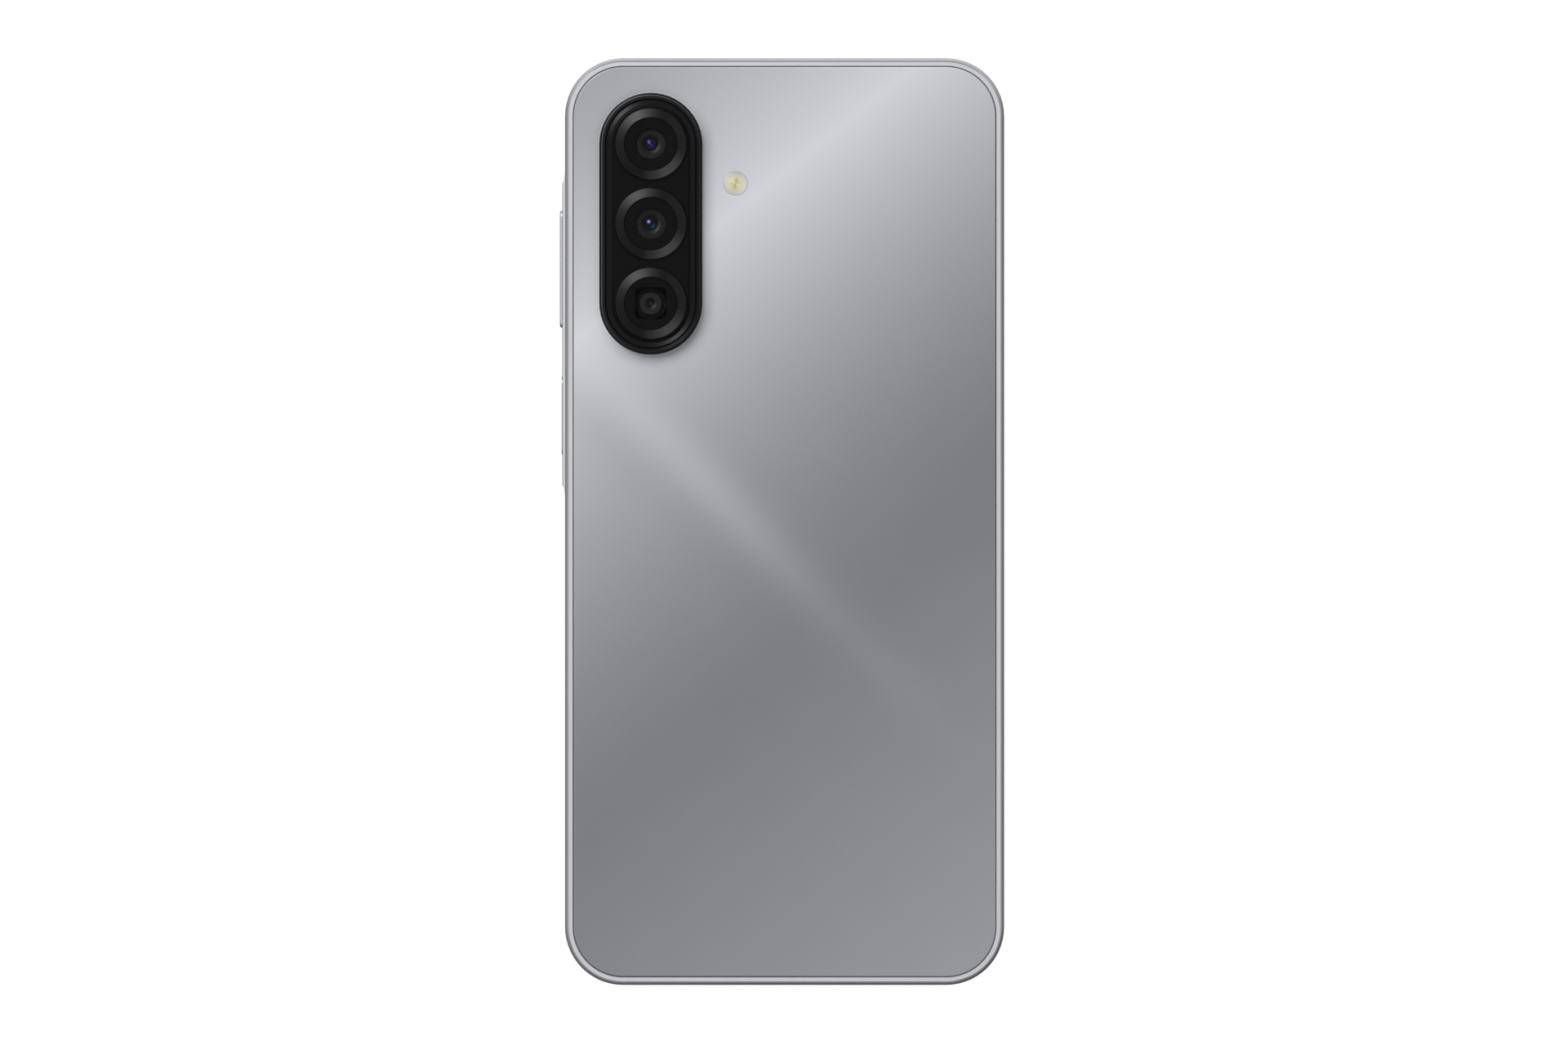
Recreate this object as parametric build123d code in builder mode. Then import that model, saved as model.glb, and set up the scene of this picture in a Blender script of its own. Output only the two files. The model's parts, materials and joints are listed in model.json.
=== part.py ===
from build123d import *
import os

# A bar smartphone with a plastic frame, as separate pieces, in millimetres.
# It lies on its display: +Z points out of its back, +Y to its top edge, and +X to the right
# as seen from the back. The origin is the centre of the display glass's outer face.

os.makedirs("parts", exist_ok=True)

# ---- Driving dimensions -------------------------------------------------------------------

body_width = 77.9
body_length = 164.4
corner_radius = 10.3
side_x = body_width / 2
end_y = body_length / 2

# Heights of the stack, from the display's face up to the back.
glass_back = 0.55
display_seat = 0.70
panel_back = 1.15
foam_back = 1.40
plate_front = 1.50
plate_back = 1.95
board_front = 2.55
board_back = 3.25
bracket_front = 5.55
bracket_back = 6.15
cover_seat = 6.65
cover_front = 6.80
cover_back = 7.50
side_mid_z = 3.75

# Seams and walls, measured inward from the outer edge.
glass_recess_inset = 1.30
glass_inset = 1.40
rim_inset = 1.40
cover_inset = 1.55
plate_inset = 2.25
cavity_inset = 2.50
display_ledge_inset = 2.70

# The frame's sides are flat in the middle and curve in to a flat rim at each end.
rim_front = 0.05
rim_back = 7.35
back_curve_radius = 1.64
back_curve_sink = 0.30
front_curve_radius = 1.30
front_curve_sink = 0.25

# Raised island on the left side, which carries the keys.
island_height = 0.48
island_low_z = 1.65
island_high_z = 5.85
island_top_y = 59.9
island_bottom_y = 6.5
island_top_ramp = 2.5
island_bottom_ramp = 2.1
island_edge_radius = 0.38
island_x = -side_x - island_height

# Keys: a pocket floor inside the wall, and nibs that reach the domes.
key_clearance = 0.10
key_pocket_x = -37.85
key_inner_x = -38.15
nib_end_x = -36.35
nib_radius = 0.70
nib_hole_radius = 0.95
volume_key_y = 44.85
volume_key_length = 20.8
volume_key_height = 2.3
volume_key_rise = 0.45
volume_nib_offset = 7.0
power_key_y = 18.85
power_key_length = 14.0
power_key_height = 2.7
power_key_rise = 0.14
dome_top_x = -36.05
flex_outer_x = -35.85
key_bracket_x = -35.75

# Camera island, an upright pill, with three lens rings in a line. It stands through the cover,
# and a flange behind the cover holds it.
camera_x = -23.71
camera_y = 52.80
camera_pill_width = 18.11
camera_pill_length = 46.25
camera_ring_pitch = 14.13
camera_top_z = 8.70
camera_floor_z = 8.35
camera_groove_z = 8.25
camera_ledge_z = 7.75
camera_gap = 0.05
camera_flange = 0.9
# How far in from the island's edge its floor, glass step, glass and open middle begin.
camera_floor_inset = 1.12
camera_groove_inset = 1.97
camera_ledge_inset = 2.37
camera_glass_inset = 2.40
camera_middle_inset = 2.90
bracket_opening_inset = 2.05
lens_ring_top_z = 9.00
lens_ring_radius = 6.40
lens_ring_bore_radius = 4.65
lens_ring_neck_radius = 5.90
lens_window_radius = 5.10
lens_window_bottom_z = 8.15
lens_window_top_z = 8.75
ultrawide_at = (camera_x, camera_y + camera_ring_pitch)
main_at = (camera_x, camera_y)
macro_at = (camera_x, camera_y - camera_ring_pitch)
flash_at = (-8.68, 59.97)
flash_radius = 2.15

# Front camera, behind a round hole in the panel.
front_camera_at = (0.0, 74.3)

# SIM tray in the right side.
tray_y = 57.0
tray_z = 3.95
tray_width = 12.8
tray_thickness = 1.0
tray_head_length = 17.4
tray_head_height = 2.1
tray_head_x = 37.75
tray_inner_x = 8.0
tray_seal_x = 37.35
eject_y = tray_y + 7.75
eject_rod_radius = 0.45
eject_lever_pivot = (5.4, 61.2)

# Bottom edge.
usb_length = 8.94
usb_height = 3.16
usb_wall = 0.30
usb_mouth_y = -81.9
usb_rear_y = -74.6
speaker_hole_radius = 0.65
speaker_hole_count = 6
speaker_hole_pitch = 2.3
speaker_hole_x = -18.0
microphone_x = 9.5
top_microphone_x = 22.0

# Vibration motor, battery and screws.
motor_at = (24.0, -69.5)
motor_radius = 4.0
battery_low = (-32.5, -59.0)
battery_high = (33.5, 28.0)
screw_boss_radius = 1.7
upper_screws = [
    (-32.3, 75.0), (-32.3, 60.0), (-32.3, 44.0), (-32.3, 32.0), (-10.8, 75.5),
    (-10.8, 45.5), (-10.8, 33.0), (32.3, 75.0), (33.0, 46.0), (33.0, 33.0),
]
lower_screws = [
    (-33.0, -63.0), (-32.3, -75.0), (-7.0, -63.0), (12.5, -76.0), (32.3, -75.0), (33.0, -63.0),
]


# ---- Helpers ------------------------------------------------------------------------------

def keep(piece, label):
    """Label a finished piece and write it as a file of its own."""
    piece.part.label = label
    export_step(piece.part, f"parts/{label}.step")


def outline(inset, height):
    """The phone's outline, drawn in from its outer edge, as a sketch at a height."""
    with BuildSketch(Plane.XY.offset(height)) as shape:
        RectangleRounded(body_width - 2 * inset, body_length - 2 * inset, corner_radius - inset)
    return shape.sketch


def island_pill(inset, height):
    """The camera island's outline, drawn in by an inset, as a sketch at a height."""
    length = camera_pill_length - 2 * inset
    width = camera_pill_width - 2 * inset
    with BuildSketch(Plane.XY.offset(height)) as shape:
        with Locations((camera_x, camera_y)):
            SlotOverall(length, width, rotation=90)
    return shape.sketch


def block(low, high, radius=0.0, mode=Mode.ADD):
    """A box between two corners, its upright edges rounded, in the current part."""
    size = (high[0] - low[0], high[1] - low[1])
    with BuildSketch(Plane.XY.offset(low[2])) as shape:
        with Locations(((low[0] + high[0]) / 2, (low[1] + high[1]) / 2)):
            if radius:
                RectangleRounded(*size, radius)
            else:
                Rectangle(*size)
    extrude(shape.sketch, amount=high[2] - low[2], mode=mode)


def disc(at, bottom, top, radius, mode=Mode.ADD):
    """An upright cylinder between two heights, in the current part."""
    with Locations((at[0], at[1], bottom)):
        Cylinder(radius, top - bottom, align=(Align.CENTER, Align.CENTER, Align.MIN), mode=mode)


def side_slot(x_from, x_to, at, length, height, mode=Mode.ADD):
    """A slot shape lying along Y, extruded along X, in the current part."""
    with BuildSketch(Plane.YZ.offset(x_from)) as shape:
        with Locations(at):
            SlotOverall(length, height)
    extrude(shape.sketch, amount=x_to - x_from, mode=mode)


def side_rounds(x_from, x_to, places, radius, mode=Mode.ADD):
    """Round bars or holes along X at places given as (y, z), in the current part."""
    with BuildSketch(Plane.YZ.offset(x_from)) as shape:
        with Locations(*places):
            Circle(radius)
    extrude(shape.sketch, amount=x_to - x_from, mode=mode)


def end_rounds(y_from, y_to, places, radius, mode=Mode.SUBTRACT):
    """Round holes along Y at places given as (x, z), in the current part."""
    with BuildSketch(Plane.XZ.offset(-y_from)) as shape:
        with Locations(*places):
            Circle(radius)
    extrude(shape.sketch, amount=y_from - y_to, mode=mode)


def ribbon(route, x_low, x_high, thickness):
    """A flat flex bent along a (y, z) route and as wide as its two x values."""
    with BuildPart() as piece:
        with BuildSketch(Plane.YZ.offset(x_low)):
            with BuildLine():
                Polyline(*route)
            trace(line_width=thickness)
        extrude(amount=x_high - x_low)
    return piece


def ring_sheet(outer_inset, inner_inset, bottom, top):
    """A narrow die-cut frame that follows the phone's outline."""
    with BuildPart() as piece:
        extrude(outline(outer_inset, bottom), amount=top - bottom)
        extrude(outline(inner_inset, bottom), amount=top - bottom, mode=Mode.SUBTRACT)
    return piece


volume_nibs = [
    (volume_key_y - volume_nib_offset, side_mid_z), (volume_key_y + volume_nib_offset, side_mid_z)
]
power_nib = [(power_key_y, side_mid_z)]
key_height_gap = 2 * key_clearance

# ---- Frame and covers ---------------------------------------------------------------------

# The ramps at both ends of the key island leave the side tangentially.
with BuildPart() as key_island:
    with BuildSketch(Plane.XY.offset(island_low_z)):
        with BuildLine():
            top_ramp = TangentArc(
                (-side_x, island_top_y + island_top_ramp), (island_x, island_top_y), tangent=(0, -1)
            )
            bottom_ramp = TangentArc(
                (-side_x, island_bottom_y - island_bottom_ramp),
                (island_x, island_bottom_y),
                tangent=(0, 1),
            )
            Line(top_ramp @ 1, bottom_ramp @ 1)
            Polyline(
                bottom_ramp @ 0,
                (-side_x + 1, island_bottom_y - island_bottom_ramp),
                (-side_x + 1, island_top_y + island_top_ramp),
                top_ramp @ 0,
            )
        make_face()
    extrude(amount=island_high_z - island_low_z)
    outer_edges = key_island.edges().filter_by(Axis.Y).sort_by(Axis.X)[0:2]
    fillet(outer_edges, island_edge_radius)

with BuildPart() as side_frame:
    frame_bottom = rim_front - front_curve_sink
    frame_top = rim_back + back_curve_sink
    extrude(outline(0, frame_bottom), amount=frame_top - frame_bottom)
    fillet(side_frame.edges().group_by(Axis.Z)[-1], back_curve_radius)
    fillet(side_frame.edges().group_by(Axis.Z)[0], front_curve_radius)
    split(bisect_by=Plane.XY.offset(rim_back), keep=Keep.BOTTOM)
    split(bisect_by=Plane.XY.offset(rim_front), keep=Keep.TOP)
    add(key_island.part)
    # Steps of the inside: glass recess, panel opening, plate pocket, main cavity, cover recess.
    steps = [
        (glass_recess_inset, frame_bottom, display_seat),
        (display_ledge_inset, display_seat, plate_front),
        (plate_inset, plate_front, plate_back),
        (cavity_inset, plate_back, cover_seat),
        (rim_inset, cover_seat, frame_top),
    ]
    for inset, bottom, top in steps:
        extrude(outline(inset, bottom), amount=top - bottom, mode=Mode.SUBTRACT)
    # Key pockets and the holes for their nibs.
    side_slot(
        -side_x - 2, key_pocket_x, (volume_key_y, side_mid_z),
        volume_key_length + key_height_gap, volume_key_height + key_height_gap, Mode.SUBTRACT,
    )
    side_slot(
        -side_x - 2, key_pocket_x, (power_key_y, side_mid_z),
        power_key_length + key_height_gap, power_key_height + key_height_gap, Mode.SUBTRACT,
    )
    side_rounds(key_pocket_x - 1, -36, volume_nibs + power_nib, nib_hole_radius, Mode.SUBTRACT)
    # SIM tray: head pocket, seal step, slot for the tray, and the eject rod's hole.
    side_slot(
        tray_head_x - 0.05, side_x + 1, (tray_y, tray_z),
        tray_head_length + 0.2, tray_head_height + 0.2, Mode.SUBTRACT,
    )
    block(
        (tray_seal_x - 0.05, tray_y - 7.2, tray_z - 1.05), (tray_head_x, tray_y + 7.2, tray_z + 1.05),
        mode=Mode.SUBTRACT,
    )
    block(
        (side_x - 3.5, tray_y - 6.6, tray_z - 0.65), (tray_seal_x, tray_y + 6.6, tray_z + 0.65),
        mode=Mode.SUBTRACT,
    )
    side_rounds(side_x - 3.5, tray_head_x, [(eject_y, tray_z)], 0.55, Mode.SUBTRACT)
    # Bottom edge: charging port, loudspeaker holes and microphone; top edge: second microphone.
    with BuildSketch(Plane.XZ.offset(end_y - 4)) as port_mouth:
        with Locations((0, side_mid_z)):
            SlotOverall(usb_length + 0.3, usb_height + 0.3)
    extrude(port_mouth.sketch, amount=6, mode=Mode.SUBTRACT)
    speaker_holes = [
        (speaker_hole_x + (i - (speaker_hole_count - 1) / 2) * speaker_hole_pitch, side_mid_z)
        for i in range(speaker_hole_count)
    ]
    end_rounds(-end_y + 4, -end_y - 2, speaker_holes, speaker_hole_radius)
    end_rounds(-end_y + 4, -end_y - 2, [(microphone_x, side_mid_z)], 0.5)
    end_rounds(end_y + 2, end_y - 4, [(top_microphone_x, side_mid_z)], 0.5)
    # Sound duct of the earpiece, through the display ledge.
    block((-5, end_y - 4, display_seat), (5, end_y - 1.4, plate_back), mode=Mode.SUBTRACT)
keep(side_frame, "side_frame")

with BuildPart() as mid_plate:
    extrude(outline(plate_inset, plate_front), amount=plate_back - plate_front)
    # Battery well.
    block(
        (battery_low[0] - 1.0, battery_low[1] - 1.0, plate_back),
        (battery_high[0] + 1.0, battery_high[1] + 1.0, 4.6), radius=1.0,
    )
    block(
        (battery_low[0] - 0.2, battery_low[1] - 0.2, plate_back),
        (battery_high[0] + 0.2, battery_high[1] + 0.2, 4.6), radius=0.4, mode=Mode.SUBTRACT,
    )
    for at in upper_screws + lower_screws:
        disc(at, plate_back, bracket_front, screw_boss_radius)
    for at in upper_screws + lower_screws:
        disc(at, plate_back + 0.5, bracket_front, 0.74, Mode.SUBTRACT)
    # Openings for the front camera, the earpiece and the display's flex.
    block((-3.5, 70.8, plate_front), (3.5, 77.8, plate_back), mode=Mode.SUBTRACT)
    block((-5.0, 78.6, plate_front), (18.5, end_y, plate_back), mode=Mode.SUBTRACT)
    block((-3.5, -67.3, plate_front), (16.5, -65.7, plate_back), mode=Mode.SUBTRACT)
keep(mid_plate, "mid_plate")

with BuildPart() as back_cover:
    extrude(outline(cover_inset, cover_front), amount=cover_back - cover_front)
    fillet(back_cover.edges().group_by(Axis.Z)[-1], 0.32)
    extrude(island_pill(-camera_gap, cover_front), amount=1, mode=Mode.SUBTRACT)
    chamfer(back_cover.faces().sort_by(Axis.Z)[-1].inner_wires()[0].edges(), 0.08)
    disc(flash_at, cover_front, cover_back, flash_radius + 0.05, Mode.SUBTRACT)
keep(back_cover, "back_cover")

back_cover_adhesive = ring_sheet(cover_inset + 0.1, cavity_inset - 0.05, cover_seat, cover_front)
keep(back_cover_adhesive, "back_cover_adhesive")

# ---- Display ------------------------------------------------------------------------------

with BuildPart() as display_glass:
    extrude(outline(glass_inset, 0), amount=glass_back)
    fillet(display_glass.edges().group_by(Axis.Z)[0], 0.25)
    block((-5, end_y - 1.95, 0), (5, end_y, glass_back), mode=Mode.SUBTRACT)
keep(display_glass, "display_glass")

with BuildPart() as display_adhesive:
    extrude(outline(glass_inset + 0.1, glass_back), amount=display_seat - glass_back)
    extrude(outline(display_ledge_inset, glass_back), amount=1, mode=Mode.SUBTRACT)
    block((-5, end_y - 3, glass_back), (5, end_y, display_seat), mode=Mode.SUBTRACT)
keep(display_adhesive, "display_adhesive")

panel_low = (-35.95, -78.0)
panel_high = (35.95, 78.7)
with BuildPart() as display_panel:
    block((*panel_low, glass_back), (*panel_high, panel_back), radius=6.8)
    disc(front_camera_at, glass_back, panel_back, 1.9, Mode.SUBTRACT)
keep(display_panel, "display_panel")

with BuildPart() as display_foam:
    block((-35.2, -77.2, panel_back), (35.2, 77.9, foam_back), radius=6.0)
    disc(front_camera_at, panel_back, foam_back, 2.2, Mode.SUBTRACT)
keep(display_foam, "display_foam")

display_flex = ribbon([(-76, 1.45), (-66.5, 1.45), (-66.5, 2.3), (-62.5, 2.3)], -2.5, 15.5, 0.08)
keep(display_flex, "display_flex")

# ---- Camera island ------------------------------------------------------------------------

with BuildPart() as camera_surround:
    extrude(island_pill(0, cover_front), amount=camera_top_z - cover_front)
    fillet(camera_surround.edges().group_by(Axis.Z)[-1], 0.17)
    extrude(island_pill(-camera_flange, cover_seat), amount=cover_front - cover_seat)
    # Sloping step, grooved floor, thin step round the glass, glass seat and open middle.
    extrude(island_pill(camera_floor_inset, camera_floor_z), amount=1, mode=Mode.SUBTRACT)
    chamfer(camera_surround.faces().sort_by(Axis.Z)[-1].inner_wires()[0].edges(), 0.30)
    extrude(island_pill(camera_groove_inset, camera_groove_z), amount=1, mode=Mode.SUBTRACT)
    extrude(island_pill(camera_ledge_inset, camera_ledge_z), amount=1, mode=Mode.SUBTRACT)
    extrude(island_pill(camera_middle_inset, cover_seat), amount=2, mode=Mode.SUBTRACT)
keep(camera_surround, "camera_surround")

with BuildPart() as camera_glass:
    glass_thickness = camera_floor_z - camera_ledge_z
    extrude(island_pill(camera_glass_inset, camera_ledge_z), amount=glass_thickness)
    for at in (ultrawide_at, main_at, macro_at):
        disc(at, camera_ledge_z, camera_floor_z, lens_ring_neck_radius + 0.05, Mode.SUBTRACT)
keep(camera_glass, "camera_glass")


def lens_ring(at):
    """A metal ring on the camera glass, with a neck through it and a seat for its window."""
    with BuildPart() as ring:
        disc(at, camera_floor_z, lens_ring_top_z, lens_ring_radius)
        fillet(ring.edges().group_by(Axis.Z)[-1], 0.15)
        disc(at, 7.2, camera_floor_z, lens_ring_neck_radius)
        disc(at, 7.2, lens_ring_top_z, lens_ring_bore_radius, Mode.SUBTRACT)
        disc(at, 7.2, lens_window_top_z, lens_window_radius + 0.05, Mode.SUBTRACT)
    return ring


def lens_window(at):
    """The round cover glass that sits in a lens ring from behind."""
    with BuildPart() as window:
        disc(at, lens_window_bottom_z, lens_window_top_z, lens_window_radius)
    return window


def lens_element(at, top, radius, depth=0.5):
    """The front lens of a camera, a short disc with a domed edge."""
    with BuildPart() as lens:
        disc(at, top - depth, top, radius)
        fillet(lens.edges().group_by(Axis.Z)[-1], radius * 0.4)
    return lens


for name, at in (("ultrawide", ultrawide_at), ("main", main_at), ("macro", macro_at)):
    keep(lens_ring(at), f"{name}_ring")
    keep(lens_window(at), f"{name}_window")


def barrel(at, foot, shoulder, top, foot_radius, front_radius, iris_radius, lens_radius):
    """A stepped lens barrel with a conical mouth down to its front lens, in the current part."""
    disc(at, foot, shoulder, foot_radius)
    disc(at, shoulder, top, front_radius)
    with Locations((at[0], at[1], top - 0.45)):
        Cone(
            lens_radius, iris_radius, 0.45,
            align=(Align.CENTER, Align.CENTER, Align.MIN), mode=Mode.SUBTRACT,
        )
    disc(at, top - 1.0, top - 0.44, lens_radius, Mode.SUBTRACT)


def housing(at, half, bottom, top):
    """A square camera housing, in the current part."""
    block((at[0] - half, at[1] - half, bottom), (at[0] + half, at[1] + half, top), radius=0.5)


with BuildPart() as ultrawide_camera:
    housing(ultrawide_at, 4.25, 2.1, 6.2)
    barrel(ultrawide_at, 6.2, 7.0, 7.85, 3.6, 2.70, 1.65, 1.1)
keep(ultrawide_camera, "ultrawide_camera")
keep(lens_element(ultrawide_at, 7.50, 1.05), "ultrawide_lens")

with BuildPart() as macro_camera:
    housing(macro_at, 3.25, 2.1, 6.2)
    barrel(macro_at, 6.2, 7.0, 7.85, 2.75, 1.95, 0.90, 0.50)
keep(macro_camera, "macro_camera")
keep(lens_element(macro_at, 7.45, 0.45, 0.4), "macro_lens")

# The main camera focuses by moving its barrel along Z inside the housing.
with BuildPart() as main_camera:
    housing(main_at, 5.75, 2.0, 6.2)
    disc(main_at, 3.0, 6.2, 4.0, Mode.SUBTRACT)
keep(main_camera, "main_camera")

with BuildPart() as main_lens_barrel:
    barrel(main_at, 3.3, 6.6, 7.75, 3.8, 2.75, 1.65, 1.1)
keep(main_lens_barrel, "main_lens_barrel")
keep(lens_element(main_at, 7.40, 1.05), "main_lens")

with BuildPart() as front_camera:
    housing(front_camera_at, 3.25, 2.0, 5.2)
    disc(front_camera_at, 0.62, 2.0, 1.6)
    disc(front_camera_at, 0.62, 1.3, 0.8, Mode.SUBTRACT)
keep(front_camera, "front_camera")

with BuildPart() as front_camera_lens:
    disc(front_camera_at, 0.66, 1.2, 0.75)
    fillet(front_camera_lens.edges().group_by(Axis.Z)[0], 0.3)
keep(front_camera_lens, "front_camera_lens")

with BuildPart() as flash_lens:
    disc(flash_at, cover_front, cover_back, flash_radius)
    fillet(flash_lens.edges().group_by(Axis.Z)[-1], 0.12)
    disc(flash_at, 6.62, cover_front, flash_radius + 0.5)
keep(flash_lens, "flash_lens")

with BuildPart() as flash_led:
    block(
        (flash_at[0] - 1.6, flash_at[1] - 1.6, bracket_back),
        (flash_at[0] + 1.6, flash_at[1] + 1.6, 6.35), radius=0.3,
    )
    disc(flash_at, 6.35, 6.58, 1.35)
keep(flash_led, "flash_led")

# ---- Boards and what is on them -----------------------------------------------------------

with BuildPart() as main_board:
    block((-13.0, 30.6, board_front), (35.4, 78.0, board_back), radius=1.5)
    block((27.0, 70.0, board_front), (36.0, 79.0, board_back), mode=Mode.SUBTRACT)
    block((-3.6, 70.7, board_front), (18.4, 80.0, board_back), mode=Mode.SUBTRACT)
    for at in upper_screws:
        disc(at, board_front, board_back, screw_boss_radius + 0.2, Mode.SUBTRACT)
keep(main_board, "main_board")

with BuildPart() as sub_board:
    block((-8.0, -78.4, board_front), (34.6, -61.6, board_back), radius=1.0)
    block((27.0, -79.0, board_front), (36.0, -73.0, board_back), mode=Mode.SUBTRACT)
    block((-4.8, -79.0, board_front), (4.8, -74.2, board_back), mode=Mode.SUBTRACT)
    for at in lower_screws:
        disc(at, board_front, board_back, screw_boss_radius + 0.2, Mode.SUBTRACT)
keep(sub_board, "sub_board")

shield_boxes = [((-8.0, 37.0), (30.0, 48.6)), ((-11.5, 50.2), (1.5, 68.0)), ((19.5, 67.2), (26.5, 76.5))]
shield_top = 4.9
sheet = 0.15
with BuildPart() as board_shields:
    for low, high in shield_boxes:
        block((*low, board_back), (*high, shield_top), radius=0.6)
        block(
            (low[0] + sheet, low[1] + sheet, board_back),
            (high[0] - sheet, high[1] - sheet, shield_top - sheet), radius=0.45, mode=Mode.SUBTRACT,
        )
keep(board_shields, "board_shields")

# Processor, memory, power and radio chips, then the two microphones.
chip_boxes = [
    ((-5.0, 38.5), (7.5, 47.0)), ((10.0, 38.5), (20.0, 46.5)), ((22.0, 39.5), (28.0, 45.5)),
    ((-9.5, 53.0), (-1.0, 60.0)), ((-8.5, 62.0), (-1.5, 66.5)), ((21.0, 69.0), (25.0, 75.0)),
    ((microphone_x - 1.4, -77.9), (microphone_x + 1.0, -75.9)), ((21.0, 77.0), (23.0, 77.8)),
]
with BuildPart() as board_chips:
    for low, high in chip_boxes:
        block((*low, board_back), (*high, board_back + 1.0))
keep(board_chips, "board_chips")

reader_y_low = tray_y - 6.85
reader_y_high = tray_y + 6.85
with BuildPart() as sim_reader:
    base_back = board_back + 0.15
    block((3.0, reader_y_low, board_back), (36.2, 66.2, base_back))
    block((7.7, reader_y_low, base_back), (36.2, reader_y_high, 4.75))
    block((7.0, reader_y_low + 0.2, base_back), (37.0, reader_y_high - 0.2, 4.6), mode=Mode.SUBTRACT)
    # Guide of the eject rod, and the lever's pivot post.
    block((14.0, reader_y_high, base_back), (15.5, 66.2, 4.75))
    side_rounds(13.5, 16.0, [(eject_y, tray_z)], eject_rod_radius + 0.05, Mode.SUBTRACT)
    disc(eject_lever_pivot, base_back, 4.5, 0.4)
keep(sim_reader, "sim_reader")

with BuildPart() as eject_rod:
    side_rounds(6.4, 37.6, [(eject_y, tray_z)], eject_rod_radius)
keep(eject_rod, "eject_rod")

with BuildPart() as eject_lever:
    pivot_x = eject_lever_pivot[0]
    block((pivot_x - 0.8, 57.4, tray_z - 0.25), (pivot_x + 0.8, 65.6, tray_z + 0.25), radius=0.5)
    disc(eject_lever_pivot, tray_z - 0.25, tray_z + 0.25, 0.45, Mode.SUBTRACT)
keep(eject_lever, "eject_lever")

# The tray's inner pocket is for a memory card, and its outer one for a nano SIM.
tray_bottom = tray_z - tray_thickness / 2
tray_top = tray_z + tray_thickness / 2
memory_pocket = ((8.8, tray_y - 5.55), (23.9, tray_y + 5.55))
sim_pocket = ((24.7, tray_y - 4.45), (37.1, tray_y + 4.45))
with BuildPart() as sim_tray:
    block(
        (tray_inner_x, tray_y - tray_width / 2, tray_bottom),
        (tray_head_x + 0.2, tray_y + tray_width / 2, tray_top),
    )
    for low, high in (memory_pocket, sim_pocket):
        block((*low, tray_bottom + 0.28), (*high, tray_top), radius=0.4, mode=Mode.SUBTRACT)
        block(
            (low[0] + 1, low[1] + 1, tray_bottom), (high[0] - 1, high[1] - 1, tray_top),
            radius=0.4, mode=Mode.SUBTRACT,
        )
    side_slot(tray_head_x, side_x - 0.02, (tray_y, tray_z), tray_head_length, tray_head_height)
    side_rounds(tray_head_x - 1, side_x + 1, [(eject_y, tray_z)], 0.5, Mode.SUBTRACT)
    fillet(sim_tray.faces().sort_by(Axis.X)[-1].outer_wire().edges(), 0.12)
keep(sim_tray, "sim_tray")

with BuildPart() as sim_tray_seal:
    block((tray_seal_x, tray_y - 7.1, tray_z - 0.95), (tray_head_x, tray_y + 7.1, tray_z + 0.95))
    block(
        (tray_seal_x, tray_y - tray_width / 2, tray_bottom),
        (tray_head_x, tray_y + tray_width / 2, tray_top), mode=Mode.SUBTRACT,
    )
keep(sim_tray_seal, "sim_tray_seal")

# ---- Power, sound and cables --------------------------------------------------------------

battery_front = plate_back + 0.10
battery_back = 6.45
with BuildPart() as battery:
    block((*battery_low, battery_front), (*battery_high, battery_back), radius=1.2)
    fillet(battery.edges().group_by(Axis.Z)[-1], 0.6)
    # Lead from the cell's top edge, over the well's wall, down to its plug on the board.
    block((-4.0, battery_high[1] - 0.5, 4.9), (2.0, 34.0, 5.1))
    block((-4.0, 31.5, board_back), (2.0, 34.0, 4.9))
keep(battery, "battery")

with BuildPart() as battery_tape:
    block((-29.0, -55.0, plate_back), (30.0, 24.0, battery_front), radius=2.0)
keep(battery_tape, "battery_tape")

main_flex = ribbon(
    [(-66, 3.31), (-61.0, 3.31), (-61.0, 6.53), (29.6, 6.53), (29.6, 3.31), (35.5, 3.31)], 6, 15, 0.12
)
keep(main_flex, "main_flex")

# Thin coaxial lead along the right side, with a round plug at each end.
cable_x = 35.3
cable_z = 3.72
cable_radius = 0.38
cable_low_y = -67.5
cable_high_y = 38.4
with BuildPart() as antenna_cable:
    end_rounds(cable_high_y, cable_low_y, [(cable_x, cable_z)], cable_radius, Mode.ADD)
    for y in (cable_low_y, cable_high_y):
        disc((cable_x - 1.0, y), board_back, cable_z + 0.4, 1.1)
keep(antenna_cable, "antenna_cable")

with BuildPart() as usb_port:
    with BuildSketch(Plane.XZ.offset(-usb_rear_y)) as shell_outline:
        with Locations((0, side_mid_z)):
            SlotOverall(usb_length, usb_height)
    extrude(shell_outline.sketch, amount=usb_rear_y - usb_mouth_y)
    with BuildSketch(Plane.XZ.offset(-usb_rear_y + 0.4)) as shell_inside:
        with Locations((0, side_mid_z)):
            SlotOverall(usb_length - 2 * usb_wall, usb_height - 2 * usb_wall)
    extrude(shell_inside.sketch, amount=8, mode=Mode.SUBTRACT)
keep(usb_port, "usb_port")

with BuildPart() as usb_tongue:
    block((-3.35, usb_mouth_y + 0.7, side_mid_z - 0.35), (3.35, usb_rear_y - 0.4, side_mid_z + 0.35))
    fillet(usb_tongue.edges().filter_by(Axis.Z).group_by(Axis.Y)[0], 0.5)
    block((-3.6, usb_rear_y - 1.6, side_mid_z - 0.9), (3.6, usb_rear_y - 0.4, side_mid_z + 0.9))
keep(usb_tongue, "usb_tongue")

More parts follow.
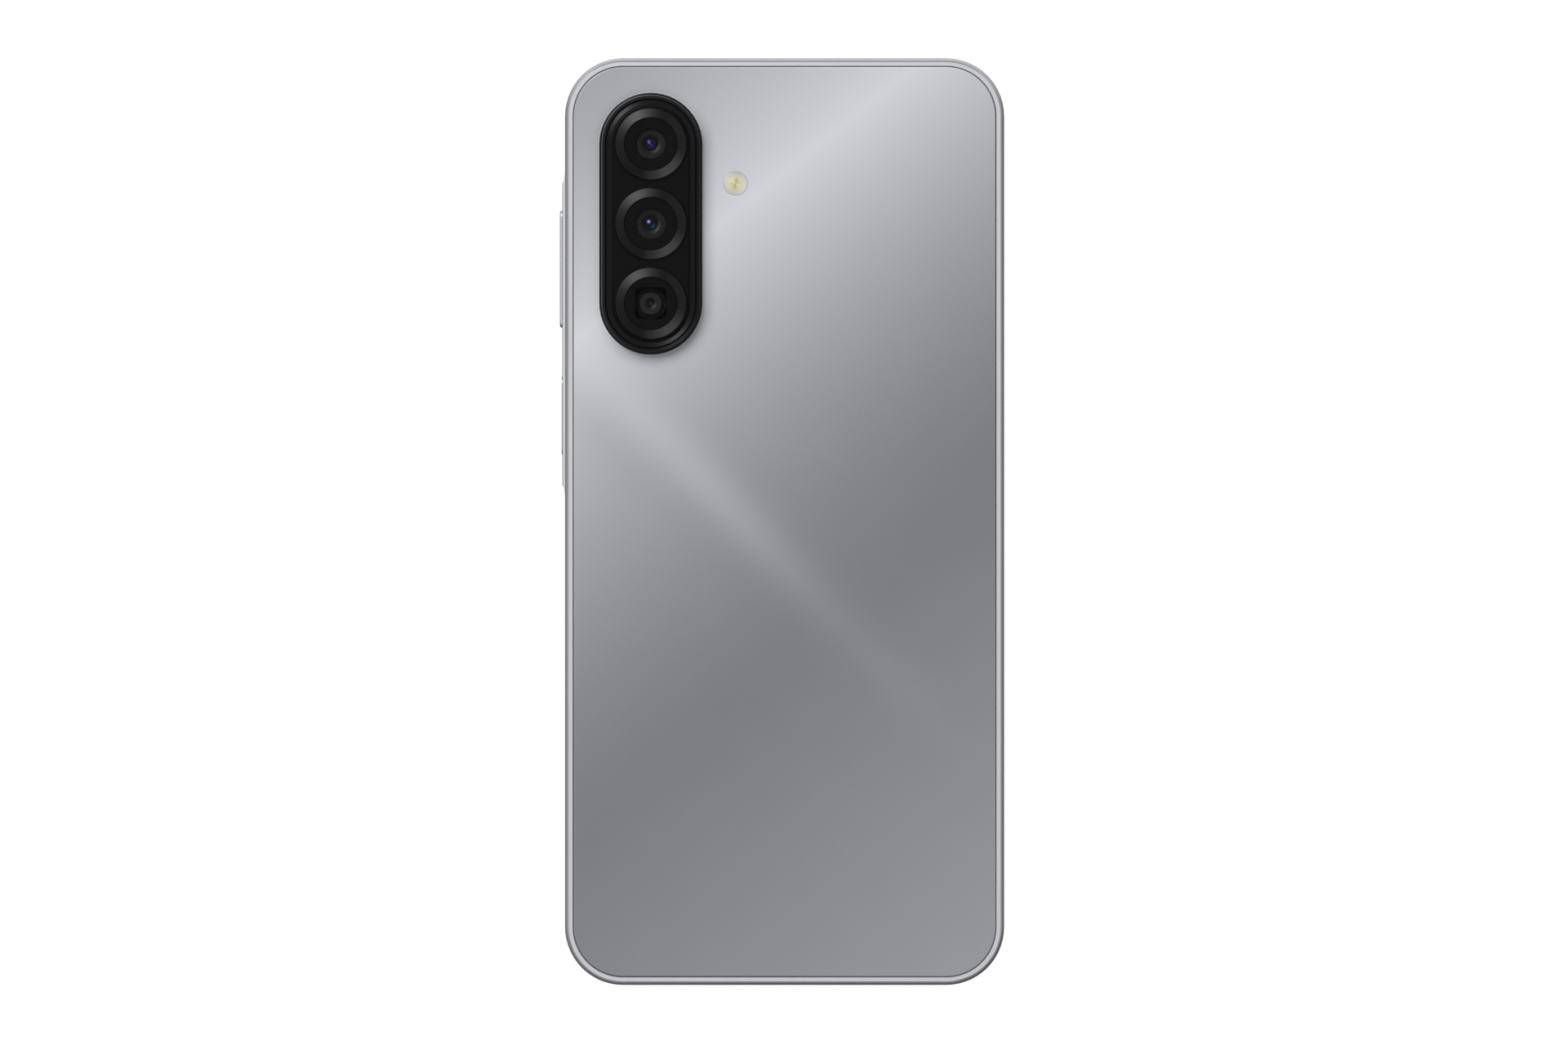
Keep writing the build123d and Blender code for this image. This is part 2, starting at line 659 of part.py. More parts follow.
box_low = (-30.3, -78.9)
box_high = (-9.5, -61.6)
box_wall = 0.6
with BuildPart() as speaker_box:
    block((*box_low, 2.0), (*box_high, 5.5), radius=0.8)
    block(
        (box_low[0] + box_wall, box_low[1] + box_wall, 2.0 + box_wall),
        (box_high[0] - box_wall, box_high[1] - box_wall, 5.5 - box_wall), mode=Mode.SUBTRACT,
    )
    block((-25.5, box_low[1] - 1, 3.1), (-10.5, box_low[1] + 1, 4.4), mode=Mode.SUBTRACT)
keep(speaker_box, "speaker_box")

with BuildPart() as speaker_driver:
    block((-28.5, -74.5, 2.65), (-12.0, -62.8, 4.4), radius=1.5)
    block((-26.5, -72.8, 4.4), (-14.0, -64.5, 4.6), radius=2.0)
keep(speaker_driver, "speaker_driver")

with BuildPart() as earpiece:
    block((4.9, 71.6, 2.0), (18.1, 78.5, 4.4), radius=1.0)
    block((-4.0, 78.4, 2.0), (12.0, 79.4, 3.2))
keep(earpiece, "earpiece")

# Dust meshes of the loudspeaker and of the earpiece.
with BuildPart() as acoustic_meshes:
    block((-25.0, -79.6, 2.9), (-11.0, -79.3, 4.6))
    block((-4.9, end_y - 1.9, 0.15), (4.9, end_y - 1.45, 0.50))
keep(acoustic_meshes, "acoustic_meshes")

motor_bottom = board_back
motor_top = 5.95
with BuildPart() as vibration_motor_can:
    disc(motor_at, motor_bottom, motor_top, motor_radius)
    fillet(vibration_motor_can.edges().group_by(Axis.Z)[-1], 0.3)
    disc(motor_at, motor_bottom + 0.2, motor_top - 0.2, motor_radius - 0.25, Mode.SUBTRACT)
    disc(motor_at, motor_bottom + 0.1, motor_top - 0.1, 0.3)
keep(vibration_motor_can, "vibration_motor_can")

# Off-centre weight that spins on the motor's shaft.
with BuildPart() as vibration_rotor:
    with BuildSketch(Plane.XY.offset(motor_bottom + 0.7)) as weight:
        with Locations(motor_at):
            Circle(3.45)
        with Locations((motor_at[0], motor_at[1] - 3.2)):
            Rectangle(8, 4, mode=Mode.SUBTRACT)
        with Locations(motor_at):
            Circle(1.2)
            Circle(0.36, mode=Mode.SUBTRACT)
    extrude(amount=1.4)
keep(vibration_rotor, "vibration_rotor")

# ---- Brackets, screws and the antenna sheet -----------------------------------------------

with BuildPart() as upper_bracket:
    extrude(outline(cavity_inset + 0.25, bracket_front), amount=bracket_back - bracket_front)
    block((-40, -90, bracket_front), (40, 30.2, bracket_back), mode=Mode.SUBTRACT)
    extrude(island_pill(bracket_opening_inset, bracket_front), amount=1, mode=Mode.SUBTRACT)
    for at in upper_screws:
        disc(at, bracket_front, bracket_back, 0.85, Mode.SUBTRACT)
keep(upper_bracket, "upper_bracket")

with BuildPart() as lower_bracket:
    extrude(outline(cavity_inset + 0.25, bracket_front), amount=bracket_back - bracket_front)
    block((-40, -61.4, bracket_front), (40, 90, bracket_back), mode=Mode.SUBTRACT)
    disc(motor_at, bracket_front, bracket_back, motor_radius + 0.2, Mode.SUBTRACT)
    for at in lower_screws:
        disc(at, bracket_front, bracket_back, 0.85, Mode.SUBTRACT)
keep(lower_bracket, "lower_bracket")

with BuildPart() as nfc_sheet:
    block((-4.0, 34.0, bracket_back), (29.0, 70.0, bracket_back + 0.15), radius=2.0)
    for margin in (1.5, 3.0, 4.5):
        block(
            (-4.0 + margin, 34.0 + margin, bracket_back + 0.15),
            (29.0 - margin, 70.0 - margin, bracket_back + 0.20), radius=1.5,
        )
        block(
            (-3.2 + margin, 34.8 + margin, bracket_back + 0.15),
            (28.2 - margin, 69.2 - margin, bracket_back + 0.20), radius=1.0, mode=Mode.SUBTRACT,
        )
keep(nfc_sheet, "nfc_sheet")

# Sixteen identical cross-head screws.
head_top = bracket_back + 0.45
with BuildPart() as screws:
    for at in upper_screws + lower_screws:
        disc(at, 3.0, bracket_back, 0.68)
        disc(at, bracket_back, head_top, 1.3)
        for width, depth in ((1.4, 0.35), (0.35, 1.4)):
            block(
                (at[0] - width / 2, at[1] - depth / 2, head_top - 0.25),
                (at[0] + width / 2, at[1] + depth / 2, head_top), mode=Mode.SUBTRACT,
            )
keep(screws, "screws")

# ---- Side keys ----------------------------------------------------------------------------

with BuildPart() as side_key_bracket:
    block((key_bracket_x, 8.5, plate_back), (key_bracket_x + 0.3, 58.0, 5.3))
    block((key_bracket_x, 8.5, plate_back), (key_bracket_x + 1.3, 58.0, plate_back + 0.25))
keep(side_key_bracket, "side_key_bracket")

with BuildPart() as side_key_flex:
    block((flex_outer_x, 9.0, 2.4), (key_bracket_x, 57.5, 5.1))
keep(side_key_flex, "side_key_flex")

with BuildPart() as key_domes:
    side_rounds(flex_outer_x, dome_top_x, volume_nibs + power_nib, 1.5)
    fillet(key_domes.edges().group_by(Axis.X)[0], 0.15)
keep(key_domes, "key_domes")

with BuildPart() as volume_key:
    side_slot(
        island_x - volume_key_rise, key_inner_x, (volume_key_y, side_mid_z),
        volume_key_length, volume_key_height,
    )
    fillet(volume_key.edges().group_by(Axis.X)[0], 0.32)
    side_rounds(key_inner_x, nib_end_x, volume_nibs, nib_radius)
keep(volume_key, "volume_key")

sensor_length = power_key_length - 1.2
sensor_height = power_key_height - 1.2
power_face_x = island_x - power_key_rise
with BuildPart() as power_key:
    side_slot(
        power_face_x, key_inner_x, (power_key_y, side_mid_z), power_key_length, power_key_height
    )
    fillet(power_key.edges().group_by(Axis.X)[0], 0.14)
    side_slot(
        power_face_x - 0.1, power_face_x + 0.35, (power_key_y, side_mid_z),
        sensor_length, sensor_height, Mode.SUBTRACT,
    )
    side_rounds(key_inner_x, nib_end_x, power_nib, nib_radius)
keep(power_key, "power_key")

with BuildPart() as fingerprint_sensor:
    side_slot(
        power_face_x + 0.05, power_face_x + 0.35, (power_key_y, side_mid_z),
        sensor_length - 0.06, sensor_height - 0.06,
    )
keep(fingerprint_sensor, "fingerprint_sensor")
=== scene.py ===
import json
import math

import bpy
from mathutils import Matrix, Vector


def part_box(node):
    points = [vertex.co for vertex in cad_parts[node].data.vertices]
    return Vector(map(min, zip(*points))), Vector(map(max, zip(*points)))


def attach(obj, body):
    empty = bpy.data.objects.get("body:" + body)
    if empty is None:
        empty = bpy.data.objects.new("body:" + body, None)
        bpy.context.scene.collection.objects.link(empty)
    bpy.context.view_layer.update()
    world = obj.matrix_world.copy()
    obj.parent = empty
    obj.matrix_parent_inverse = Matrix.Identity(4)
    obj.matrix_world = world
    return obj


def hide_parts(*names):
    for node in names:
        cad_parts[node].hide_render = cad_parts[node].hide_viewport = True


# Looks of a bar smartphone that lies on its display, seen from straight above its back.
# Pieces are built in the row frame. Their shapes are given in millimetres, and MM makes metres.

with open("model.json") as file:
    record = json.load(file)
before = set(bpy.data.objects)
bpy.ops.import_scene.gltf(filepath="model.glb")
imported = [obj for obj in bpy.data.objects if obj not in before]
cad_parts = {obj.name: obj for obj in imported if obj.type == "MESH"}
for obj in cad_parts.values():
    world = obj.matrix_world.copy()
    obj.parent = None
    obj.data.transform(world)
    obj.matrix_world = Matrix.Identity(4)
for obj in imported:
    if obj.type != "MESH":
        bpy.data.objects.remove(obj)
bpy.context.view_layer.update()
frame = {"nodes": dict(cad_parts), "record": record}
scene = bpy.context.scene
scene.view_settings.view_transform = "Standard"

MM = 0.001


# ---- Places taken from the frame ----------------------------------------------------------

def box_mm(node):
    """Lowest and highest corner of a CAD node, in millimetres."""
    low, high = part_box(node)
    return low / MM, high / MM


def centre_mm(node):
    low, high = box_mm(node)
    return (low + high) / 2


LENSES = ("ultrawide", "main", "macro")
lens_at = {name: centre_mm(f"{name}_window") for name in LENSES}
flash_at = centre_mm("flash_lens")
front_camera_at = centre_mm("front_camera_lens")
back_z = box_mm("back_cover")[1].z
glass_low, glass_high = box_mm("camera_glass")
panel_low, panel_high = box_mm("display_panel")

# The camera island is a pill: two half circles joined by straight sides.
GLASS_INSET = 2.40
island_at = (glass_low + glass_high) / 2
island_radius = (glass_high.x - glass_low.x) / 2 + GLASS_INSET
island_straight = (glass_high.y - glass_low.y) - (glass_high.x - glass_low.x)
floor_z = glass_high.z

# The frame's outline, seen from above, is a rectangle with round corners.
FRAME_CORNER = 10.30
RIM_INSET, COVER_INSET = 1.40, 1.55
frame_high = box_mm("side_frame")[1]

# The direction from which the key light comes, over the upper left corner of the view.
KEY_DIRECTION = Vector((-0.42, 0.62, 0.82)).normalized()


# ---- Shading ------------------------------------------------------------------------------

# Steps that a tint adds to a level's red, green and blue.
COOL = (0, 1, 6)
NEUTRAL = (0, 0, 0)

# Pitch of the turning marks on the lens rings, of the flash lens's steps, and the number of
# streaks in the glint on the island's ribs.
TURNING_PITCH = 0.11
FLASH_STEP = 0.34
RIB_STREAKS = 240

# The cover's two bands of painted reflection: a point on each ridge and a direction, in millimetres,
# with the first band's levels either side of its crest.
FIRST_BAND_AT = (21.32, 79.16)
FIRST_BAND_ACROSS = (-0.628, 0.778)
CREST_LEVEL = 212
UPPER_SLOPE, UPPER_CURVE = 1.65, 0.0095
LOWER_FALL, LOWER_WIDTH = 86.5, 66
RISE_FROM, RISE_SLOPE = 71.0, 0.44
SECOND_BAND_AT = (-10.96, 2.0)
SECOND_BAND_MIDDLE = (-9.94, 2.74)
SECOND_BAND_ALONG = (0.692, -0.722)
SECOND_BAND_WIDTH, SECOND_BAND_LENGTH, SECOND_BAND_LIFT = 3.05, 19.0, 18


def linear(level):
    """A display level from 0 to 255 as linear light. Works on numbers and on Values."""
    return ((level / 255 + 0.055) / 1.055) ** 2.4


def rgba(level, tint=COOL):
    return (*(linear(level + step) for step in tint), 1.0)


class Value:
    """A number worked out on the surface: arithmetic on it makes Math nodes."""

    def __init__(self, tree, socket):
        self.tree, self.socket = tree, socket

    def put(self, target):
        self.tree.links.new(self.socket, target)

    def calc(self, operation, *others):
        return calc(self.tree, operation, self, *others)

    def __add__(self, other):
        return self.calc("ADD", other)

    def __sub__(self, other):
        return self.calc("SUBTRACT", other)

    def __mul__(self, other):
        return self.calc("MULTIPLY", other)

    def __truediv__(self, other):
        return self.calc("DIVIDE", other)

    def __pow__(self, other):
        return self.calc("POWER", other)

    __radd__ = __add__
    __rmul__ = __mul__

    def __rsub__(self, other):
        return calc(self.tree, "SUBTRACT", other, self)

    def above(self, floor=0.0):
        return self.calc("MAXIMUM", floor)

    def below(self, ceiling):
        return self.calc("MINIMUM", ceiling)

    def size(self):
        return self.calc("ABSOLUTE")

    def bell(self, centre, width):
        """1 at the centre, falling off as a Gaussian of that width."""
        away = (self - centre) / width
        return calc(self.tree, "POWER", math.e, away * away * -0.5)

    def step(self, low, high):
        """0 below low and 1 above high, with a smooth rise between them."""
        node = self.tree.nodes.new("ShaderNodeMapRange")
        node.interpolation_type = "SMOOTHSTEP"
        falling = high < low
        self.put(node.inputs["Value"])
        node.inputs["From Min"].default_value = min(low, high)
        node.inputs["From Max"].default_value = max(low, high)
        node.inputs["To Min"].default_value = 1.0 if falling else 0.0
        node.inputs["To Max"].default_value = 0.0 if falling else 1.0
        return Value(self.tree, node.outputs["Result"])

    def ramp(self, stops, interpolation="CARDINAL"):
        """Levels at places from 0 to 1, joined smoothly."""
        node = self.tree.nodes.new("ShaderNodeValToRGB")
        ramp = node.color_ramp
        ramp.interpolation = interpolation
        while len(ramp.elements) < len(stops):
            ramp.elements.new(0.5)
        for element, (place, level) in zip(ramp.elements, stops):
            element.position = place
            element.color = (level / 255, level / 255, level / 255, 1)
        self.put(node.inputs["Fac"])
        return Value(self.tree, node.outputs["Color"]) * 255


def calc(tree, operation, *values):
    node = tree.nodes.new("ShaderNodeMath")
    node.operation = operation
    for target, value in zip(node.inputs, values):
        if isinstance(value, Value):
            value.put(target)
        else:
            target.default_value = value
    return Value(tree, node.outputs[0])


class Paint:
    """A material whose numbers vary over the surface, in millimetres of the row frame."""

    def __init__(self, name, **sockets):
        self.material = bpy.data.materials.new(name)
        self.material.use_nodes = True
        self.tree = self.material.node_tree
        self.shader = self.tree.nodes["Principled BSDF"]
        for socket, value in sockets.items():
            self.shader.inputs[socket.replace("_", " ")].default_value = value
        place = self.tree.nodes.new("ShaderNodeTexCoord").outputs["Object"]
        to_mm = self.tree.nodes.new("ShaderNodeVectorMath")
        to_mm.operation = "SCALE"
        to_mm.inputs["Scale"].default_value = 1 / MM
        self.tree.links.new(place, to_mm.inputs[0])
        self.place = to_mm.outputs[0]
        split = self.tree.nodes.new("ShaderNodeSeparateXYZ")
        self.tree.links.new(self.place, split.inputs[0])
        self.x, self.y, self.z = (Value(self.tree, s) for s in split.outputs)

    def noise(self, size, detail=2.0, stretch=(1, 1, 1)):
        """Smooth noise from -1 to 1 with lumps of that size, drawn out by stretch."""
        spread = self.tree.nodes.new("ShaderNodeVectorMath")
        spread.operation = "MULTIPLY"
        spread.inputs[1].default_value = [1 / (size * s) for s in stretch]
        self.tree.links.new(self.place, spread.inputs[0])
        node = self.tree.nodes.new("ShaderNodeTexNoise")
        node.inputs["Scale"].default_value = 1.0
        node.inputs["Detail"].default_value = detail
        self.tree.links.new(spread.outputs[0], node.inputs["Vector"])
        return (Value(self.tree, node.outputs["Fac"]) - 0.5) * 2

    def along(self, at, direction):
        """Distance from a place, measured in a direction on the XY plane."""
        return (self.x - at[0]) * direction[0] + (self.y - at[1]) * direction[1]

    def radius(self, at):
        dx, dy = self.x - at[0], self.y - at[1]
        return (dx * dx + dy * dy) ** 0.5

    def turn(self, at):
        """Angle about an upright axis from +X, as a share of a full turn."""
        angle = calc(self.tree, "ARCTAN2", self.y - at[1], self.x - at[0])
        return (angle / math.tau + 1).calc("FRACT")

    def island(self):
        """(distance in from the camera island's edge, how far that edge faces the key light)."""
        dx = self.x - island_at.x
        past = self.y - island_at.y
        dy = past - past.above(-island_straight / 2).below(island_straight / 2)
        away = (dx * dx + dy * dy + 0.0001) ** 0.5
        flat = KEY_DIRECTION.xy.normalized()
        return island_radius - away, (dx * flat.x + dy * flat.y) / away

    def frame_inset(self):
        """Distance in from the frame's outer edge."""
        past_x = self.x.size() - (frame_high.x - FRAME_CORNER)
        past_y = self.y.size() - (frame_high.y - FRAME_CORNER)
        corner = (past_x.above() ** 2 + past_y.above() ** 2) ** 0.5
        return FRAME_CORNER - corner - past_x.calc("MAXIMUM", past_y).below(0)

    def colour(self, level, tint=COOL, sheen=0.0):
        """Sets the base colour from a level from 0 to 255, less the light that gloss adds."""
        node = self.tree.nodes.new("ShaderNodeCombineColor")
        for target, step in zip(node.inputs, tint):
            channel = linear((level + step).above()) - sheen
            channel.above().put(target)
        self.tree.links.new(node.outputs[0], self.shader.inputs["Base Color"])
        return node.outputs[0]

    def blend_colours(self, share, first, second):
        """Sets the base colour to a mix of two colours, each a socket or a fixed colour."""
        node = self.tree.nodes.new("ShaderNodeMix")
        node.data_type = "RGBA"
        share.put(node.inputs["Factor"])
        for target, colour in ((node.inputs["A"], first), (node.inputs["B"], second)):
            if isinstance(colour, tuple):
                target.default_value = colour
            else:
                self.tree.links.new(colour, target)
        colour_out = [s for s in node.outputs if s.type == "RGBA"][0]
        self.tree.links.new(colour_out, self.shader.inputs["Base Color"])
        return colour_out

    def rough(self, value):
        value.put(self.shader.inputs["Roughness"])

    def alpha(self, value):
        value.put(self.shader.inputs["Alpha"])

    def bump(self, height, strength=1.0):
        """Relief from a height in millimetres."""
        node = self.tree.nodes.new("ShaderNodeBump")
        node.inputs["Strength"].default_value = strength
        node.inputs["Distance"].default_value = MM
        height.put(node.inputs["Height"])
        self.tree.links.new(node.outputs[0], self.shader.inputs["Normal"])


def grained(name, level, tint=NEUTRAL, roughness=0.5, metallic=0.0, mottle=3.0, grain=0.12,
            depth=0.004, stretch=(1, 1, 1), **sockets):
    """A plain finish: slight cloudiness, uneven gloss and a fine grain in relief."""
    paint = Paint(name, Metallic=metallic, **sockets)
    fine = paint.noise(grain, 3.0, stretch)
    paint.colour(paint.noise(4.0) * mottle + fine * mottle + level, tint)
    paint.rough(paint.noise(1.5) * 0.05 + fine * 0.04 + roughness)
    paint.bump(fine * depth)
    return paint.material


# ---- Finishes -----------------------------------------------------------------------------

def cover_finish():
    """Grey cover with two soft bands of reflected light painted into its colour, crossing at an apex.
    """
    paint = Paint("cover_plastic", Metallic=0.0, Roughness=0.24)
    across = paint.along(FIRST_BAND_AT, FIRST_BAND_ACROSS)
    upper = across.above()
    lower = (across * -1).above()
    bright_side = upper * upper * UPPER_CURVE - upper * UPPER_SLOPE
    falling = ((1 - lower / LOWER_WIDTH).above() ** 1.5) * LOWER_FALL - LOWER_FALL
    rising = (lower - RISE_FROM).above() * RISE_SLOPE
    level = bright_side + falling + rising - paint.y.step(-15, 25) * 4 + CREST_LEVEL
    # Second band of painted reflection: a narrow ridge that fades along its length, with a faint hollow
    # beside it.
    along = paint.along(SECOND_BAND_AT, SECOND_BAND_ALONG)
    off_line = paint.along(SECOND_BAND_MIDDLE, (-SECOND_BAND_ALONG[1], SECOND_BAND_ALONG[0]))
    ridge = off_line.bell(0, SECOND_BAND_WIDTH) * along.bell(0, SECOND_BAND_LENGTH)
    level = level + ridge * SECOND_BAND_LIFT
    level = level + off_line.bell(0.2, 3.0) * along.bell(40.0, 11.0) * 3.6
    level = level - off_line.bell(-7.5, 3.5) * along.bell(-27.0, 9.0) * 6
    # The cut edge of the opening catches the light on the key light's side.
    inset, facing = paint.island()
    level = level + inset.bell(-0.17, 0.08) * (facing * 4 + 32)
    # The island's shade falls on the cover on the side away from the key light.
    away = (facing * -1 + 0.10).above()
    level = level - inset.bell(-0.55, 0.90) * away * 36
    # A painted highlight along the cover's own rounded edge, strongest on the right and at the bottom.
    edge = paint.frame_inset()
    edge_highlight = edge.bell(COVER_INSET + 0.08, 0.06)
    level = level + edge_highlight * ((paint.x / 38 - paint.y / 82).above() * 14 + 8)
    # Painted shade: the cover's colour falls to black at its very edge, down in the seam.
    level = level * edge.step(COVER_INSET - 0.01, COVER_INSET + 0.012)
    pearl = paint.noise(0.22, 3.0)
    paint.colour(level + pearl * 3.4 + paint.noise(9.0) * 1.2, COOL, 0.0137)
    paint.rough(pearl * 0.03 + 0.26)
    paint.bump(pearl * 0.0006)
    return paint.material


def frame_finish(name, level, roughness=0.34, metallic=0.85):
    """Satin plastic with a fine metallic flake and a faint lay along its length."""
    paint = Paint(name, Metallic=metallic)
    flake = paint.noise(0.10, 3.0)
    lay = paint.noise(0.25, 2.0, (1, 24, 1))
    # Painted shade: the seam round the cover is darkened, and at the top the foot of the rim is too.
    inset = paint.frame_inset()
    seam = inset.step(RIM_INSET - 0.03, RIM_INSET - 0.01) * paint.z.step(6.4, 6.5)
    foot = inset.bell(0.64, 0.11) * inset.step(0.74, 0.70) * (paint.y - 79).step(0, 2)
    shade = (1 - seam * 0.37) * (1 - foot * 0.24)
    paint.colour((paint.noise(6.0) * 1.5 + flake * 2.0 + level) * shade)
    paint.rough(lay * 0.03 + flake * 0.03 + roughness)
    paint.bump(flake * 0.0008)
    return paint.material


def ring_finish(at, outer, lift):
    """Spun dark metal: two fans of light across the ring and fine turning marks."""
    paint = Paint("ring_metal", Metallic=1.0, Roughness=0.42)
    fans = paint.turn(at).ramp([
        (0.0, 36), (0.14, 36), (0.19, 33), (0.25, 58), (0.33, 92), (0.42, 54), (0.48, 38),
        (0.70, 30), (0.735, 43), (0.78, 56), (0.83, 70), (0.90, 60), (0.96, 40), (1.0, 36),
    ])
    top_fan = paint.turn(at).bell(0.345, 0.09) * lift
    radius = paint.radius(at)
    marks = (radius * (math.tau / TURNING_PITCH)).calc("SINE")
    # The bevels at the ring's edges are painted darker: painted shade that dims their reflections.
    face = radius.step(4.70, 4.80) * radius.step(outer - 0.08, outer - 0.16)
    paint.colour((fans + top_fan + marks * 1.2 + paint.noise(0.3) * 1.5) * (face * 0.6 + 0.4), NEUTRAL)
    paint.bump(marks * 0.0004)
    return paint.material


def surround_finish():
    """Near-black metal with light and shade painted across its profile: a painted highlight along the
    bevel line on the key light's side, and a blue-black slope.
    """
    paint = Paint("surround_metal", Metallic=1.0)
    inset, facing = paint.island()
    # Levels across the profile from the outer edge in: the metal's own near-black, with painted
    # highlights on the outer edge and the step line, and painted shade in the corner below the slope.
    band = (inset / 3.0).ramp([
        (0.0, 46), (0.06, 30), (0.10, 26), (0.15, 42), (0.30, 44), (0.33, 20), (0.42, 18),
        (0.44, 30), (0.64, 30), (0.665, 46), (0.69, 20), (0.77, 18), (0.80, 30), (1.0, 20),
    ], "LINEAR")
    # Painted highlights on the bevel line and, on the key light's side, round the glass; painted shade
    # on the slope away from the key light.
    bevel = inset.bell(0.37, 0.05) * (facing * 42 + 42)
    lit, unlit = facing.above(), (facing * -1).above()
    lit_side_highlight = inset.bell(2.20, 0.12) * lit * lit * 26
    shade = inset.bell(0.64, 0.17) * unlit * 26
    paint.colour(band + bevel + lit_side_highlight - shade + paint.noise(0.3) * 1.5, (0, 1, 3))
    paint.rough(paint.noise(0.15, 3.0) * 0.05 + 0.36)
    return paint.material


def rib_finish():
    """Ribbed floor: its ribs glint towards the upper left and, more faintly, the lower right."""
    paint = Paint("surround_ribs", Metallic=1.0, Roughness=0.5)
    top_arc = (paint.y - (island_at.y + island_straight / 2)).step(-0.5, 2.5)
    bottom_arc = (paint.y - (island_at.y - island_straight / 2)).step(0.5, -2.5)
    top = (island_at.x, island_at.y + island_straight / 2)
    bottom = (island_at.x, island_at.y - island_straight / 2)
    top_turn, bottom_turn = paint.turn(top), paint.turn(bottom)
    top_streaks = (top_turn * (math.tau * RIB_STREAKS)).calc("SINE") * 0.24 + 1
    bottom_streaks = (bottom_turn * (math.tau * RIB_STREAKS)).calc("SINE") * 0.24 + 1
    glint = top_turn.bell(0.372, 0.045) * top_arc * top_streaks * 56
    glint = glint + bottom_turn.bell(0.85, 0.045) * bottom_arc * bottom_streaks * 46
    fine = paint.noise(0.12, 2.0)
    paint.colour(glint + fine * 2 + 29, NEUTRAL)
    return paint.material


def black_glass_finish():
    """Polished opaque black glass with the faintest haze."""
    paint = Paint("camera_glass", Roughness=0.06, IOR=1.5)
    haze = paint.noise(2.5, 3.0)
    paint.colour(haze * 1.0 + 15, NEUTRAL)
    paint.rough(haze * 0.015 + 0.07)
    return paint.material


def window_finish(name, at, opening, square):
    """Cover glass of one camera: clear over the lens, and printed black around it."""
    paint = Paint(f"{name}_window_glass", Roughness=0.05, IOR=1.5)
    if square:
        away_x, away_y = (paint.x - at.x).size(), (paint.y - at.y).size()
        away = (away_x ** 8 + away_y ** 8) ** 0.125
    else:
        away = paint.radius(at)
    printed = away.step(opening, opening + 0.12)
    smear = paint.noise(1.2, 3.0)
    paint.colour(smear * 0.8 + 15, NEUTRAL)
    paint.rough(smear * 0.01 + 0.05)
    paint.alpha(printed * 0.92 + 0.08)
    paint.material.surface_render_method = "BLENDED"
    return paint.material


def barrel_finish(name, at, outer, inner):
    """Black lens barrel: a paler flat front, a darker mouth and a crescent of light in it."""
    paint = Paint(f"{name}_barrel", Specular_IOR_Level=0.12)
    radius, half_turn_on = paint.radius(at), (paint.turn(at) + 0.5).calc("FRACT")
    front = radius.step(inner + 0.12, inner + 0.30) * 6 + radius.step(inner - 0.35, inner - 0.7) * 12
    crescent = radius.bell(inner - 0.14, 0.20) * half_turn_on.bell(0.395, 0.09) * 58
    rings = (radius * (math.tau / 0.28)).calc("SINE") * radius.step(inner, inner + 0.1)
    grain = paint.noise(0.07, 3.0)
    shade = radius.step(outer + 0.12, outer) * 17
    paint.colour(front + crescent + shade + rings * 0.8 + grain * 1.2 + 16, NEUTRAL)
    paint.rough(grain * 0.05 + 0.5)
    paint.bump(grain * 0.001)
    return paint.material


def lens_finish(name, at, size, spots):
    """A coated lens: dark blue, with the coatings' coloured reflections as small soft spots.

    Each spot is (across, up, width, colour), in millimetres from the lens's centre."""
    paint = Paint(f"{name}_lens_glass", IOR=1.5, Specular_IOR_Level=0.15)
    paint.rough(paint.noise(0.3) * 0.01 + 0.06)
    body = paint.radius(at).step(size * 0.45, size)
    colour = paint.blend_colours(body, rgba(26, (0, 2, 12)), rgba(33, (0, 1, 8)))
    x, y = paint.x - at.x, paint.y - at.y
    for across, up, width, spot in spots:
        colour = paint.blend_colours(x.bell(across, width) * y.bell(up, width), colour, spot)
    return paint.material


def flash_finish():
    """Clear moulded lens over a warm emitter: dark lobes about its centre and a pale rim."""
    paint = Paint("flash_clear", Specular_IOR_Level=0.3)
    radius, turn = paint.radius(flash_at), paint.turn(flash_at)
    lobes = (turn * 2 + 0.2).calc("FRACT")
    fade = radius.step(1.55, 0.15)
    dark = lobes.bell(0.62, 0.13) * fade * 46 + lobes.bell(0.27, 0.08) * fade * 20
    rings = (radius * (math.tau / FLASH_STEP)).calc("SINE")
    warm = paint.colour(217 - dark + rings * 1.2, (0, -9, -44), 0.02)
    pale = paint.colour(rings * 1.2 + 209 - lobes.bell(0.62, 0.16) * 18, (0, -2, -11), 0.02)
    rim = paint.colour(paint.noise(0.3) * 2 + 184, (0, 1, 8), 0.02)
    glint = radius.bell(2.0, 0.05) * turn.bell(0.40, 0.06)
    inner = paint.blend_colours(radius.step(0.75, 1.7), warm, pale)
    outer = paint.blend_colours(radius.step(1.92, 2.02), inner, rim)
    paint.blend_colours(glint, outer, rgba(236))
    paint.rough(rings * 0.02 + 0.16)
    return paint.material


def phosphor_finish():
    """Yellow phosphor disc on a white ceramic base."""
    paint = Paint("flash_phosphor", Roughness=0.7)
    grain = paint.noise(0.08, 3.0)
    yellow = paint.colour(grain * 8 + 214, (0, -22, -120))
    white = paint.colour(grain * 4 + 225, (0, -1, -6))
    paint.blend_colours(paint.radius(flash_at).step(1.3, 1.4), yellow, white)
    paint.bump(grain * 0.006)
    return paint.material


